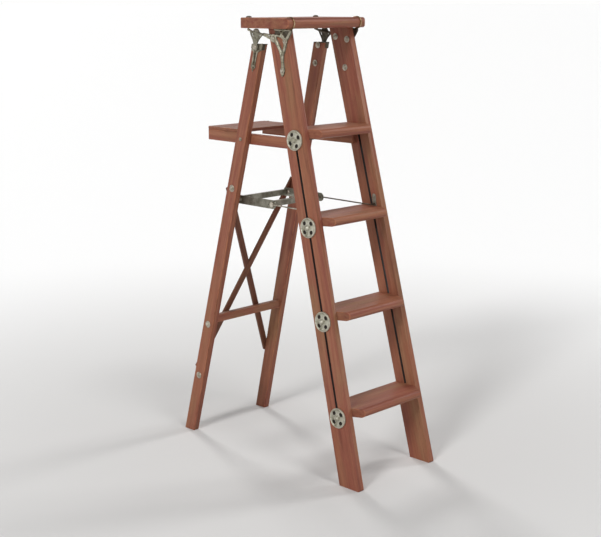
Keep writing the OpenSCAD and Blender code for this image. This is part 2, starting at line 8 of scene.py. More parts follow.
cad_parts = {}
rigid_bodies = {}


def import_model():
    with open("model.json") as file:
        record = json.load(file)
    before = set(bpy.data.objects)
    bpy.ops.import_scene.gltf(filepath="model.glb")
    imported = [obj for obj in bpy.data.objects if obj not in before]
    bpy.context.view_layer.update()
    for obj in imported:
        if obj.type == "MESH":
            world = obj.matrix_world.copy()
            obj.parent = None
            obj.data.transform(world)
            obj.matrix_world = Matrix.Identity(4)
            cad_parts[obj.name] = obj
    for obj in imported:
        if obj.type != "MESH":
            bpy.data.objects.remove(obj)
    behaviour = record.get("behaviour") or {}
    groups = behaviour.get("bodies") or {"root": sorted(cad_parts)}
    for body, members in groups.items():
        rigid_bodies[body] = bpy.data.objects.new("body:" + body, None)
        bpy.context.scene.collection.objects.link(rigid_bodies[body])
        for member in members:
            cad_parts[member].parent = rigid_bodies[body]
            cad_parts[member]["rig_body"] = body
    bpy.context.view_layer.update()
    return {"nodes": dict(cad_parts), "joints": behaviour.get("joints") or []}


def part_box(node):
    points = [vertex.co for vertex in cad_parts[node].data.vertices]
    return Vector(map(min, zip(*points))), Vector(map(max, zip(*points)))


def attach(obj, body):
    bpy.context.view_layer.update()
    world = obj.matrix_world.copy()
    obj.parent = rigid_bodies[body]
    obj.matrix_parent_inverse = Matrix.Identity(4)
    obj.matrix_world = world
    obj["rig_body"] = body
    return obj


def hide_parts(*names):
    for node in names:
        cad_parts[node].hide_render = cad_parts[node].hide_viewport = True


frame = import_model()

MM = 0.001
SIDES = {"left": -1, "right": 1}


# ---------------------------------------------------------------- where the wood lies

TAPER = math.radians(1.42)
RAIL_LEAN = math.radians(13.95)
LEG_LEAN = math.radians(13.77)
FLOOR_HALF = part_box("front_rail_right")[1].x
RAIL_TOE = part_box("front_rail_right")[0].y
LEG_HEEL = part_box("rear_leg_right")[1].y
RAIL_W = 84.6 * MM
LEG_W = 48.2 * MM
RAIL_RUN = RAIL_W / math.cos(RAIL_LEAN)
LEG_RUN = LEG_W / math.cos(LEG_LEAN)
RAIL_T = 23 * MM
LEG_T = 23.5 * MM


def outer_half(z):
    """Half the width across the outer faces at height z."""
    return FLOOR_HALF - z * math.tan(TAPER)


def leg_mid(z):
    return LEG_HEEL - z * math.tan(LEG_LEAN) - LEG_RUN / 2


def leg_front(z):
    return LEG_HEEL - z * math.tan(LEG_LEAN) - LEG_RUN


def centre(node):
    low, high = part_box(node)
    return (low + high) / 2


def outwards(side):
    """The outward normal of a side's outer faces."""
    return Vector((side * math.cos(TAPER), 0, math.sin(TAPER)))


def on_face(side, y_mm, z_mm, h_mm):
    """A point h_mm outside the outer face, at y and z."""
    z = z_mm * MM
    return Vector((side * (outer_half(z) + h_mm * MM), y_mm * MM, z))


# ---------------------------------------------------------------- materials


class Tree:
    """A material's node tree, with short ways to add nodes and link them."""

    def __init__(self, name):
        self.material = bpy.data.materials.new(name)
        self.material.use_nodes = True
        self.nodes = self.material.node_tree.nodes
        self.links = self.material.node_tree.links
        self.shader = self.nodes["Principled BSDF"]

    def add(self, kind, **values):
        node = self.nodes.new(kind)
        for key, value in values.items():
            setattr(node, key, value)
        return node

    def set(self, socket, value):
        if isinstance(value, bpy.types.NodeSocket):
            self.links.new(value, socket)
        else:
            socket.default_value = value

    def end_grain(self, rotation):
        """How far a face looks along the grain, from 0 to 1."""
        where = self.add("ShaderNodeTexCoord")
        mapping = self.add("ShaderNodeMapping", vector_type="NORMAL")
        self.set(mapping.inputs["Vector"], where.outputs["Normal"])
        self.set(mapping.inputs["Rotation"], rotation)
        parts = self.add("ShaderNodeSeparateXYZ")
        self.set(parts.inputs[0], mapping.outputs["Vector"])
        along = self.math("ABSOLUTE", parts.outputs[0], 0.0)
        return self.range(along, 0.6, 0.9)

    def height(self):
        """The distance of a point from the sides' outer faces."""
        where = self.add("ShaderNodeTexCoord")
        parts = self.add("ShaderNodeSeparateXYZ")
        self.set(parts.inputs[0], where.outputs["Object"])
        out = self.math("ABSOLUTE", parts.outputs[0], 0.0)
        lean = self.math("MULTIPLY", parts.outputs[2], math.tan(TAPER))
        return self.math("SUBTRACT", self.math("ADD", out, lean), FLOOR_HALF)

    def coords(self, rotation=(0, 0, 0), location=(0, 0, 0)):
        where = self.add("ShaderNodeTexCoord")
        mapping = self.add("ShaderNodeMapping")
        self.set(mapping.inputs["Vector"], where.outputs["Object"])
        self.set(mapping.inputs["Rotation"], rotation)
        self.set(mapping.inputs["Location"], location)
        return mapping.outputs["Vector"]

    def stretch(self, vector, scale):
        node = self.add("ShaderNodeVectorMath", operation="MULTIPLY")
        self.set(node.inputs[0], vector)
        self.set(node.inputs[1], scale)
        return node.outputs[0]

    def plus(self, vector, other):
        node = self.add("ShaderNodeVectorMath", operation="ADD")
        self.set(node.inputs[0], vector)
        self.set(node.inputs[1], other)
        return node.outputs[0]

    def noise(self, vector, scale=1.0, detail=3.0, roughness=0.55, distortion=0.0, colour=False):
        node = self.add("ShaderNodeTexNoise")
        self.set(node.inputs["Vector"], vector)
        self.set(node.inputs["Scale"], scale)
        self.set(node.inputs["Detail"], detail)
        self.set(node.inputs["Roughness"], roughness)
        self.set(node.inputs["Distortion"], distortion)
        return node.outputs["Color" if colour else "Fac"]

    def range(self, value, low, high, to_low=0.0, to_high=1.0):
        node = self.add("ShaderNodeMapRange")
        node.interpolation_type = "SMOOTHSTEP"
        self.set(node.inputs["Value"], value)
        self.set(node.inputs["From Min"], low)
        self.set(node.inputs["From Max"], high)
        self.set(node.inputs["To Min"], to_low)
        self.set(node.inputs["To Max"], to_high)
        return node.outputs["Result"]

    def math(self, operation, a, b):
        node = self.add("ShaderNodeMath", operation=operation)
        self.set(node.inputs[0], a)
        self.set(node.inputs[1], b)
        return node.outputs[0]

    def mix(self, factor, a, b, blend="MIX"):
        node = self.add("ShaderNodeMix", data_type="RGBA", blend_type=blend)
        self.set(node.inputs[0], factor)
        self.set(node.inputs[6], a)
        self.set(node.inputs[7], b)
        return node.outputs[2]

    def bump(self, height, strength, distance, normal=None):
        node = self.add("ShaderNodeBump")
        self.set(node.inputs["Height"], height)
        self.set(node.inputs["Strength"], strength)
        self.set(node.inputs["Distance"], distance)
        if normal is not None:
            self.set(node.inputs["Normal"], normal)
        return node.outputs["Normal"]


def rgb(r, g, b):
    """A colour given as display values from 0 to 255, as linear values."""
    linear = []
    for channel in (r, g, b):
        c = channel / 255
        linear.append(c / 12.92 if c <= 0.04045 else ((c + 0.055) / 1.055) ** 2.4)
    return (*linear, 1.0)


WOOD_LIGHT = rgb(162, 112, 85)
WOOD_MID = rgb(141, 87, 64)
WOOD_RED = rgb(134, 77, 61)
WOOD_DARK = rgb(74, 38, 28)
WOOD_EDGE_HIGHLIGHT_AND_WEAR = rgb(172, 110, 78)
WOOD_BARE = rgb(138, 106, 76)


def grain_turn(grain, across):
    """The rotation that brings the grain direction to X and the board's width to Y."""
    u = Vector(grain).normalized()
    w = Vector(across)
    w = (w - u * w.dot(u)).normalized()
    return Matrix((u, w, u.cross(w))).to_euler("XYZ")


def wood(name, grain, across, seed, edge_highlight_and_wear=False, tone=1.0):
    """Old stained, oiled hardwood: streaks, fibres, pores and a patchy stain. The edge version, for
    rounded arrises, is lighter in spots, which is a painted highlight with some wear, and darker in
    others.
    """
    tree = Tree(name)
    shift = (0.37 * seed, 0.61 * seed, 0.23 * seed)
    turn = grain_turn(grain, across)
    along = tree.coords(turn, shift)
    wobble = tree.noise(tree.stretch(along, (2.2, 5, 5)), detail=1.5, colour=True)
    along = tree.plus(along, tree.stretch(wobble, (0.0, 0.012, 0.012)))

    streaks = tree.noise(tree.stretch(along, (1.4, 58, 120)), detail=4, roughness=0.6)
    bands = tree.noise(tree.stretch(along, (0.8, 24, 50)), detail=2)
    fibres = tree.noise(tree.stretch(along, (8, 380, 420)), detail=3, roughness=0.6)
    pores = tree.noise(tree.stretch(along, (34, 1300, 1300)), detail=1)
    patches = tree.noise(
        tree.stretch(along, (3.2, 15, 22)), detail=5, roughness=0.6, distortion=0.4,
    )
    stain = tree.noise(tree.stretch(along, (1.7, 6, 9)), detail=3, roughness=0.6)

    colour = tree.mix(tree.range(bands, 0.4, 0.6), WOOD_RED, WOOD_MID)
    colour = tree.mix(tree.range(streaks, 0.44, 0.7, 0.0, 0.55), colour, WOOD_LIGHT)
    colour = tree.mix(tree.range(patches, 0.48, 0.7, 0.0, 0.55), colour, WOOD_BARE)
    colour = tree.mix(tree.range(streaks, 0.46, 0.24, 0.0, 0.45), colour, WOOD_DARK)
    colour = tree.mix(tree.range(stain, 0.48, 0.26, 0.0, 0.42), colour, WOOD_DARK)
    colour = tree.mix(tree.range(fibres, 0.5, 0.26, 0.0, 0.3), colour, WOOD_DARK)
    colour = tree.mix(tree.range(pores, 0.61, 0.7, 0.0, 0.36), colour, WOOD_DARK)
    colour = tree.mix(tree.range(tree.end_grain(turn), 0.0, 1.0, 0.0, 0.22), colour, WOOD_DARK)
    # The edge version: lighter spots on the rounded arrises are a painted highlight along the
    # edges, with some wear, and other spots are darker.
    if edge_highlight_and_wear:
        highlight_and_wear_spots = tree.noise(tree.stretch(along, (26, 60, 60)), detail=4)
        colour = tree.mix(tree.range(highlight_and_wear_spots, 0.4, 0.64, 0.0, 0.62), colour, WOOD_EDGE_HIGHLIGHT_AND_WEAR)
        colour = tree.mix(tree.range(highlight_and_wear_spots, 0.42, 0.3, 0.0, 0.5), colour, WOOD_DARK)
    colour = tree.mix(1.0, colour, (tone, tone, tone, 1.0), "MULTIPLY")
    tree.set(tree.shader.inputs["Base Color"], colour)

    gloss = tree.math(
        "ADD", tree.range(patches, 0.3, 0.75, 0.0, 0.16), tree.range(fibres, 0.3, 0.7, 0.34, 0.46),
    )
    tree.set(tree.shader.inputs["Roughness"], gloss)
    height = tree.math("SUBTRACT", fibres, tree.range(pores, 0.6, 0.7, 0.0, 0.8))
    normal = tree.bump(height, 0.35, 0.0004)
    dents = tree.noise(tree.stretch(along, (14, 90, 90)), detail=2)
    tree.set(tree.shader.inputs["Normal"], tree.bump(dents, 0.25, 0.0008, normal))
    tree.shader.inputs["Specular IOR Level"].default_value = 0.2
    return tree.material


METAL_SPECK = rgb(74, 68, 54)
METAL_RUBBED = rgb(216, 213, 198)
METAL_LOW_SHADE_AND_PATINA = rgb(54, 44, 32)
METAL_HOLLOW_SHADE_AND_PATINA = rgb(50, 44, 34)
METAL_EDGE = rgb(220, 216, 200)


def metal(name, light, dark, roughness, cast=False, raised=None, pitting=0.5, bare=0.35, patch=70):
    """Dull old metal: a blotchy grey-green skin, rubbed bright in places, with pits and grime.

    A cast piece is darker in its hollows, which is painted shade with some dark patina, and
    brighter on its edges. raised is the span of heights over the sides' outer faces in which it
    goes from dark to light. The dark low over the wood is painted shade under and between the
    strands, with some dark patina. bare says how much of the rubbed metal shows, and patch says how
    fine the blotches are.
    """
    tree = Tree(name)
    where = tree.coords()
    blotches = tree.noise(where, patch, 6, 0.62)
    specks = tree.noise(where, 420, 4, 0.6)
    colour = tree.mix(tree.range(blotches, 0.34, 0.64), dark, light)
    colour = tree.mix(tree.range(specks, 0.56, 0.74, 0.0, 0.55), colour, METAL_SPECK)
    colour = tree.mix(tree.range(blotches, 0.58, 0.76, 0.0, bare), colour, METAL_RUBBED)
    if raised:
        # Painted shade with some dark patina: the lower the metal sits over the wood, the darker it
        # is.
        low, high = raised
        low_shade_and_patina = tree.range(tree.height(), low * MM, high * MM, 0.86, 0.0)
        colour = tree.mix(low_shade_and_patina, colour, METAL_LOW_SHADE_AND_PATINA)
    if cast:
        # Painted shade with some dark patina in the hollows, and lighter colour on the edges.
        edges = tree.add("ShaderNodeNewGeometry").outputs["Pointiness"]
        colour = tree.mix(tree.range(edges, 0.485, 0.42, 0.0, 0.7), colour, METAL_HOLLOW_SHADE_AND_PATINA)
        colour = tree.mix(tree.range(edges, 0.52, 0.58, 0.0, 0.5), colour, METAL_EDGE)
    tree.set(tree.shader.inputs["Base Color"], colour)
    sheen = tree.range(blotches, 0.3, 0.7, roughness + 0.12, roughness - 0.08)
    tree.set(tree.shader.inputs["Roughness"], sheen)
    normal = tree.bump(specks, pitting, 0.0004)
    normal = tree.bump(tree.noise(where, 130, 3), pitting * 0.7, 0.0009, normal)
    tree.set(tree.shader.inputs["Normal"], normal)
    tree.shader.inputs["Metallic"].default_value = 0.75
    return tree.material


def recess_shade_material(name, colour, lighter):
    """Painted shade: a near-black colour in clumps for the bottom of recesses, openings and slots,
    where shade falls.
    """
    tree = Tree(name)
    where = tree.coords()
    clumps = tree.noise(where, 260, 5)
    shade = tree.mix(tree.range(clumps, 0.4, 0.7), colour, lighter)
    tree.set(tree.shader.inputs["Base Color"], shade)
    tree.set(tree.shader.inputs["Roughness"], tree.range(clumps, 0.3, 0.7, 0.6, 0.85))
    tree.set(tree.shader.inputs["Normal"], tree.bump(clumps, 0.5, 0.0005))
    return tree.material


CAST = metal(
    "cast_pewter", rgb(184, 180, 162), rgb(118, 112, 92), 0.5, cast=True, raised=(1.6, 4.2),
)
HANGER_CAST = metal(
    "cast_pewter_hanger", rgb(150, 147, 132), rgb(92, 87, 72), 0.5, cast=True, raised=(4.6, 8.8),
)
SHOE_CAST = metal(
    "cast_pewter_shoe", rgb(164, 157, 138), rgb(100, 92, 72), 0.5, cast=True, raised=(1.4, 3.0),
)
ROSETTE_CAST = metal(
    "cast_pewter_rosette", rgb(188, 185, 170), rgb(138, 134, 116), 0.5, cast=True,
)
PLATE = metal(
    "pressed_steel", rgb(146, 144, 132), rgb(108, 105, 92), 0.42, pitting=0.3, bare=0.2, patch=26,
)
STEEL = metal("turned_steel", rgb(190, 182, 168), rgb(132, 124, 108), 0.44, pitting=0.3)
DARK_STEEL = metal(
    "dark_steel", rgb(106, 92, 78), rgb(62, 50, 42), 0.44, pitting=0.35, bare=0.1,
)
BRASSY = metal("brassy_wire", rgb(168, 138, 100), rgb(92, 68, 46), 0.36, pitting=0.25)
# Painted shade for the floors of the rosettes' openings and for the screw slots.
RECESS_SHADE = recess_shade_material("recess_shade_painted", rgb(20, 15, 11), rgb(44, 34, 26))
# Painted shade for the walls of the rail's long slot.
SLOT_SHADE = recess_shade_material("slot_shade_painted", rgb(18, 11, 8), rgb(46, 26, 19))

# ---------------------------------------------------------------- mesh helpers


def new_object(name, bm, materials, smooth_degrees=38):
    mesh = bpy.data.meshes.new(name)
    bm.to_mesh(mesh)
    bm.free()
    for material in materials:
        mesh.materials.append(material)
    mesh.shade_smooth()
    mesh.set_sharp_from_angle(angle=math.radians(smooth_degrees))
    obj = bpy.data.objects.new(name, mesh)
    bpy.context.scene.collection.objects.link(obj)
    return obj


def stands_for(piece, slot, *cad_nodes):
    """The piece takes the place of CAD nodes and rides on their body."""
    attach(piece, frame["nodes"][cad_nodes[0]]["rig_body"])
    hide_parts(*cad_nodes)
    return piece


def sharp_groups(bm, degrees):
    """The sharp edges, in groups that hang together."""
    limit = math.radians(degrees)
    sharp = {e for e in bm.edges if len(e.link_faces) == 2 and e.calc_face_angle(0) > limit}
    groups = []
    while sharp:
        todo, group = [next(e for e in bm.edges if e in sharp)], []
        sharp.discard(todo[0])
        while todo:
            edge = todo.pop()
            group.append(edge)
            for vert in edge.verts:
                for other in vert.link_edges:
                    if other in sharp:
                        sharp.discard(other)
                        todo.append(other)
        groups.append(group)
    return groups


def reach(edges):
    """The longest side of the box around some edges."""
    points = [v.co for e in edges for v in e.verts]
    return max(max(p[i] for p in points) - min(p[i] for p in points) for i in range(3))


def round_edges(bm, edges, width, segments):
    """Rounds edges; the new faces get the board's second material."""
    bmesh.ops.bevel(
        bm, geom=edges, offset=width, segments=segments, profile=0.5, affect="EDGES",
        clamp_overlap=True, material=1,
    )


# How sharp an edge is that plane and wear have rounded, in degrees.
ARRIS = 28
# How far a rail's front bottom corner is rounded.
TOE_WIDTH = 6 * MM


def softened(name, node, materials, width, smallest=14 * MM, skip=None, toe=None):
    """A copy of a CAD board with its arrises rounded by hand plane and wear.

    Groups of edges shorter than smallest, or picked by skip, stay sharp. toe picks the edges that
    are rounded more than the rest.
    """
    bm = bmesh.new()
    bm.from_mesh(frame["nodes"][node].data)
    for face in bm.faces:
        face.material_index = 0
    bmesh.ops.remove_doubles(bm, verts=bm.verts, dist=1e-5)
    bmesh.ops.dissolve_limit(bm, angle_limit=math.radians(0.6), verts=bm.verts, edges=bm.edges)
    if toe:
        blunt = [e for e in bm.edges if all(toe(v.co) for v in e.verts)]
        round_edges(bm, blunt, TOE_WIDTH, 5)
    edges = []
    for group in sharp_groups(bm, ARRIS):
        if reach(group) >= smallest and not (skip and skip(group)):
            edges += group
    round_edges(bm, edges, width, 3)
    piece = new_object(name, bm, materials)
    flat = piece.modifiers.new("weighted_normals", "WEIGHTED_NORMAL")
    flat.keep_sharp = True
    return piece


def smooth_path(points, steps=6):
    """A Catmull-Rom curve through points, with what goes with each, such as a width."""
    rows = [[*p] for p in points]
    ends = [rows[0], *rows, rows[-1]]
    result = []
    for i in range(len(rows) - 1):
        a, b, c, d = ends[i:i + 4]
        for k in range(steps):
            t = k / steps
            result.append([
                0.5 * (
                    2 * b[j] + (c[j] - a[j]) * t
                    + (2 * a[j] - 5 * b[j] + 4 * c[j] - d[j]) * t * t
                    + (3 * b[j] - a[j] - 3 * c[j] + d[j]) * t ** 3
                )
                for j in range(len(b))
            ])
    result.append(rows[-1])
    return result


def join_loops(bm, loops):
    """A closed skin over loops of vertices, one after another."""
    count = len(loops[0])
    for low, high in zip(loops, loops[1:]):
        for k in range(count):
            j = (k + 1) % count
            bm.faces.new((low[k], low[j], high[j], high[k]))
    bm.faces.new(list(reversed(loops[0])))
    bm.faces.new(loops[-1])


# The rounded ends of a tube: size and distance out, as parts of the half width.
TUBE_HEAD = [(0.96, 0.3), (0.7, 0.72), (0.32, 0.95)]


def add_tube(bm, rows, normal, sides=14, cap=True):
    """A closed tube through rows of x, y, z, width, thickness; normal is the thickness way."""
    points = [Vector(r[:3]) for r in rows]
    rings = []
    count = len(points)
    for i, p in enumerate(points):
        tangent = (points[min(i + 1, count - 1)] - points[max(i - 1, 0)]).normalized()
        n = (normal - tangent * normal.dot(tangent)).normalized()
        rings.append((p, tangent, n, n.cross(tangent), rows[i][3] / 2, rows[i][4] / 2))
    if cap:
        first, last = rings[0], rings[-1]
        rings = (
            [(first[0] - first[1] * first[4] * out, *first[1:4], first[4] * k, first[5] * k)
             for k, out in reversed(TUBE_HEAD)]
            + rings
            + [(last[0] + last[1] * last[4] * out, *last[1:4], last[4] * k, last[5] * k)
               for k, out in TUBE_HEAD]
        )
    loops = []
    for p, _, n, side, half_w, half_t in rings:
        loops.append([
            bm.verts.new(p + side * math.cos(a) * half_w + n * math.sin(a) * half_t)
            for a in (2 * math.pi * k / sides for k in range(sides))
        ])
    join_loops(bm, loops)


def add_lathe(bm, profile, matrix, segments=40, material=0):
    """A solid turned around local Z from a profile of radius and height, in millimetres."""
    rings = []
    for r, z in profile:
        if r < 1e-6:
            rings.append([bm.verts.new(matrix @ Vector((0, 0, z * MM)))])
        else:
            rings.append([
                bm.verts.new(matrix @ Vector((r * MM * math.cos(a), r * MM * math.sin(a), z * MM)))
                for a in (2 * math.pi * k / segments for k in range(segments))
            ])
    for low, high in zip(rings, rings[1:]):
        for k in range(segments):
            j = (k + 1) % segments
            if len(low) == 1 and len(high) == 1:
                continue
            if len(low) == 1:
                verts = (low[0], high[j], high[k])
            elif len(high) == 1:
                verts = (low[k], low[j], high[0])
            else:
                verts = (low[k], low[j], high[j], high[k])
            face = bm.faces.new(verts)
            face.material_index = material


def add_between(bm, first, second):
    """The closed solid between two rings of points; gives its faces."""
    bottom = [bm.verts.new(p) for p in first]
    top = [bm.verts.new(p) for p in second]
    faces = [bm.faces.new(list(reversed(bottom))), bm.faces.new(top)]
    count = len(bottom)
    for k in range(count):
        j = (k + 1) % count
        faces.append(bm.faces.new((bottom[k], bottom[j], top[j], top[k])))
    return faces


def add_prism(bm, outline, matrix, low, high, material=0):
    """A prism over an outline of x, y, from low to high along local Z, in millimetres."""
    bottom, top = (
        [matrix @ Vector((x * MM, y * MM, z * MM)) for x, y in outline] for z in (low, high)
    )
    for face in add_between(bm, bottom, top):
        face.material_index = material


def facing(point, normal, up=(0, 0, 1)):
    """The matrix that puts local Z along a normal at a point, with local Y near up."""
    z = Vector(normal).normalized()
    x = Vector(up).cross(z).normalized()
    y = z.cross(x)
    return Matrix.Translation(point) @ Matrix((x, y, z)).transposed().to_4x4()


def applied(obj):
    """Bakes an object's modifiers into its mesh."""
    bpy.context.view_layer.update()
    graph = bpy.context.evaluated_depsgraph_get()
    mesh = bpy.data.meshes.new_from_object(obj.evaluated_get(graph))
    obj.modifiers.clear()
    obj.data = mesh
    return obj


def cast(name, bm, material, voxel=0.9 * MM, rounds=4, keep=0.5):
    """Melts overlapping solids into one casting with soft edges."""
    bmesh.ops.recalc_face_normals(bm, faces=bm.faces)
    obj = new_object(name, bm, [material])
    melt = obj.modifiers.new("melt", "REMESH")
    melt.mode = "VOXEL"
    melt.voxel_size = voxel
    soften = obj.modifiers.new("soften", "SMOOTH")
    soften.factor = 0.5
    soften.iterations = rounds
    thin = obj.modifiers.new("thin", "DECIMATE")
    thin.ratio = keep
    applied(obj)
    obj.data.materials.clear()
    obj.data.materials.append(material)
    for polygon in obj.data.polygons:
        polygon.material_index = 0
    obj.data.shade_smooth()
    return obj


# ---------------------------------------------------------------- wooden pieces

X_AXIS = (1, 0, 0)
Y_AXIS = (0, 1, 0)
Z_AXIS = (0, 0, 1)
RAIL_AXIS = (0, math.sin(RAIL_LEAN), math.cos(RAIL_LEAN))
LEG_AXIS = (0, -math.sin(LEG_LEAN), math.cos(LEG_LEAN))


def wood_pair(name, grain, across, seed, tone=1.0):
    return [
        wood(f"wood_{name}", grain, across, seed, tone=tone),
        wood(f"wood_{name}_edge", grain, across, seed, edge_highlight_and_wear=True, tone=tone),
    ]


def is_toe(point):
    """The front bottom corner of a rail."""
    return point.z < 0.5 * MM and point.y < RAIL_TOE + 0.5 * MM


# The rim of a socket is shorter than this, every other edge of a rail or leg is longer.
HOUSING_REACH = 0.13


def is_housing(group):
    """The rim of a socket for a step, on a rail's inner face."""
    return reach(group) < HOUSING_REACH


# How far the slot's walls reach from its middle, and past the outermost rods.
SLOT_HALF = 5.4 * MM
SLOT_PAST_ROD = 0.004
SLOT_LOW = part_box("step_rod_4")[0].z - SLOT_PAST_ROD
SLOT_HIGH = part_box("step_rod_1")[1].z + SLOT_PAST_ROD


def in_slot(face):
    """Whether a rail's face is a wall of the long slot."""
    at = face.center
    slot_y = RAIL_TOE + at.z * math.tan(RAIL_LEAN) + RAIL_RUN / 2
    at_height = SLOT_LOW < at.z < SLOT_HIGH
    return abs(at.y - slot_y) < SLOT_HALF and at_height and abs(face.normal.x) < 0.5


# The brace's wood is painted darker than the other wood. This is painted shade, because the brace
# lies in the shade behind the front frame.
BRACE_SHADE_TONE = 0.58

for label, side in SIDES.items():
    node = f"front_rail_{label}"
    pair = wood_pair(node, RAIL_AXIS, Y_AXIS, 3 + side)
    rail = softened(f"{node}_wood", node, [*pair, SLOT_SHADE], 2 * MM, skip=is_housing, toe=is_toe)
    # The slot's walls get the near-black slot colour, which is painted shade down the slot.
    for face in filter(in_slot, rail.data.polygons):
        face.material_index = 2
    stands_for(rail, "wood", node)

    node = f"rear_leg_{label}"
    pair = wood_pair(node, LEG_AXIS, Y_AXIS, 8 + side)
    leg = softened(f"{node}_wood", node, pair, 2 * MM, skip=is_housing)
    stands_for(leg, "wood", node)

    node = f"shelf_arm_{label}"
    arm = softened(f"{node}_wood", node, wood_pair(node, Y_AXIS, Z_AXIS, 12 + side), 1.8 * MM)
    stands_for(arm, "wood", node)

    node = f"brace_{label}"
    low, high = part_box(node)
    slope = (side * (high.x - low.x), low.y - high.y, high.z - low.z)
    pair = wood_pair(node, slope, X_AXIS, 16 + side, BRACE_SHADE_TONE)
    strip = softened(f"{node}_wood", node, pair, 1.2 * MM)
    stands_for(strip, "wood", node)

for i in range(1, 5):
    node = f"step_{i}"
    tread = softened(f"{node}_wood", node, wood_pair(node, X_AXIS, Y_AXIS, 20 + i), 1.6 * MM)
    stands_for(tread, "wood", node)

for node, across, seed, width in (
    ("top_cap", Y_AXIS, 31, 2.2 * MM), ("rear_rung", Z_AXIS, 33, 1.6 * MM),
    ("shelf_board", Y_AXIS, 35, 1.6 * MM),
):
    board = softened(f"{node}_wood", node, wood_pair(node, X_AXIS, across, seed), width)
    stands_for(board, "wood", node)

# ---------------------------------------------------------------- rosettes and rods

ROSETTE_R = 33.4
ROSETTE_TURNS = {1: -26, 2: -9, 3: -12, 4: -13}


def oval(cx, cy, half_x, half_y, turn, count=22):
    points = []
    for k in range(count):
        a = 2 * math.pi * k / count
        x, y = half_x * math.cos(a), half_y * math.sin(a)
        points.append((
            cx + x * math.cos(turn) - y * math.sin(turn),
            cy + x * math.sin(turn) + y * math.cos(turn),
        ))
    return points


def rosette_mesh():
    """A cast disc with a raised rim, a plain cross between four openings, and a boss."""
    bm = bmesh.new()
    add_lathe(bm, [
        (0, 0), (ROSETTE_R - 0.4, 0), (ROSETTE_R, 0.7), (ROSETTE_R, 4.2),
        (ROSETTE_R - 0.9, 6.0), (ROSETTE_R - 2.6, 6.6), (ROSETTE_R - 4.4, 5.9),
        (ROSETTE_R - 5.4, 4.9), (24, 4.7), (13, 5.0), (11.2, 5.3), (10.4, 6.5),
        (8.6, 7.0), (0, 7.0),
    ], Matrix.Identity(4), 72)
    disc = new_object("rosette_disc", bm, [ROSETTE_CAST])
    bm = bmesh.new()
    for k in range(4):
        a = math.radians(45 + 90 * k)
        outline = oval(20.6 * math.cos(a), 20.6 * math.sin(a), 6.4, 7.4, a)
        add_prism(bm, outline, Matrix.Identity(4), 0.8, 12)
    cutter = new_object("rosette_cutter", bm, [RECESS_SHADE])
    cut = disc.modifiers.new("openings", "BOOLEAN")
    cut.operation = "DIFFERENCE"
    cut.solver = "EXACT"
    cut.object = cutter
    cut.material_mode = "TRANSFER"
    round_over = disc.modifiers.new("rounded", "BEVEL")
    round_over.width = 0.8 * MM
    round_over.segments = 2
    round_over.angle_limit = math.radians(50)
    applied(disc)
    mesh = disc.data
    mesh.materials.clear()
    for material in (ROSETTE_CAST, RECESS_SHADE, DARK_STEEL):
        mesh.materials.append(material)
    for face in mesh.polygons:
        # The floors of the openings get the near-black recess colour and their low walls get the
        # dark steel. This is painted shade inside the openings.
        out = Vector(face.center[:2]).length
        hollow = 12 * MM < out < (ROSETTE_R - 4.5) * MM
        if hollow and face.normal.z > 0.5 and face.center.z < 1.6 * MM:
            face.material_index = 1
        elif hollow and abs(face.normal.z) < 0.3 and face.center.z < 4 * MM:
            face.material_index = 2
        else:
            face.material_index = 0
    mesh.shade_smooth()
    mesh.set_sharp_from_angle(angle=math.radians(40))
    for obj in (disc, cutter):
        bpy.data.objects.remove(obj)
    return mesh


def rosette_place(side, i):
    """Where rosette i sits: on the outer face, around the rod, with its Y up the rail."""
    rod = centre(f"step_rod_{i}")
    point = Vector((side * outer_half(rod.z), rod.y, rod.z))
    return facing(point, outwards(side), RAIL_AXIS)


rosette_shape = rosette_mesh()
for label, side in SIDES.items():
    for i, turn in ROSETTE_TURNS.items():
        node = f"rosette_{label}_{i}"
        piece = bpy.data.objects.new(f"{node}_casting", rosette_shape)
        bpy.context.scene.collection.objects.link(piece)
        piece.matrix_world = rosette_place(side, i) @ Matrix.Rotation(math.radians(turn), 4, "Z")
        stands_for(piece, "cast_metal", node)

bm = bmesh.new()
for side in SIDES.values():
    for i in ROSETTE_TURNS:
        add_lathe(bm, [
            (0, 6.4), (8.4, 6.4), (8.8, 7.0), (8.8, 8.6), (8.2, 10.6), (6.8, 12.6), (4.6, 14.1),
            (2.2, 14.8), (0, 14.9),
        ], rosette_place(side, i), 36)
nuts = new_object("step_rod_nuts_domed", bm, [ROSETTE_CAST])
stands_for(nuts, "steel", "step_rod_nuts")

bm = bmesh.new()
for i in range(1, 5):
    rod = centre(f"step_rod_{i}")
    half = outer_half(rod.z) + 0.008
    rows = [(x, rod.y, rod.z, 7.8 * MM, 7.8 * MM) for x in (-half, -half / 2, 0, half / 2, half)]
    add_tube(bm, rows, Vector((0, 0, 1)), 24)
rods = new_object("step_rods_steel", bm, [DARK_STEEL])
stands_for(rods, "steel", *(f"step_rod_{i}" for i in range(1, 5)))

# ---------------------------------------------------------------- castings at the top

BOLT_PLACES = {"foot": (-57, 1330), "front": (-67, 1424), "rear": (-14, 1432)}


def add_strand(bm, side, points, thick, lift=0.0):
    """A rounded strand of a casting on an outer face. Points are y, z and width in millimetres."""
    rows = []
    for y, z, width in smooth_path(points, 5):
        p = on_face(side, y, z, lift + thick * 0.42)
        rows.append((*p, width * MM, thick * MM))
    add_tube(bm, rows, outwards(side), 14)


def add_pad(bm, side, y, z, radius, height, lift=0.0, stretch=1.0, tip=0.0):
    """A round pad with a soft edge around a bolt, pulled to a point below if tip is set."""
    frame_at = facing(on_face(side, y, z, lift), outwards(side))
    outline = []
    for k in range(40):
        a = 2 * math.pi * k / 40
        x, up = radius * math.cos(a), radius * stretch * math.sin(a)
        if tip and up < 0:
            up -= tip * (abs(math.sin(a)) ** 3)
        outline.append((x, up))
    add_prism(bm, outline, frame_at, -0.6, height)


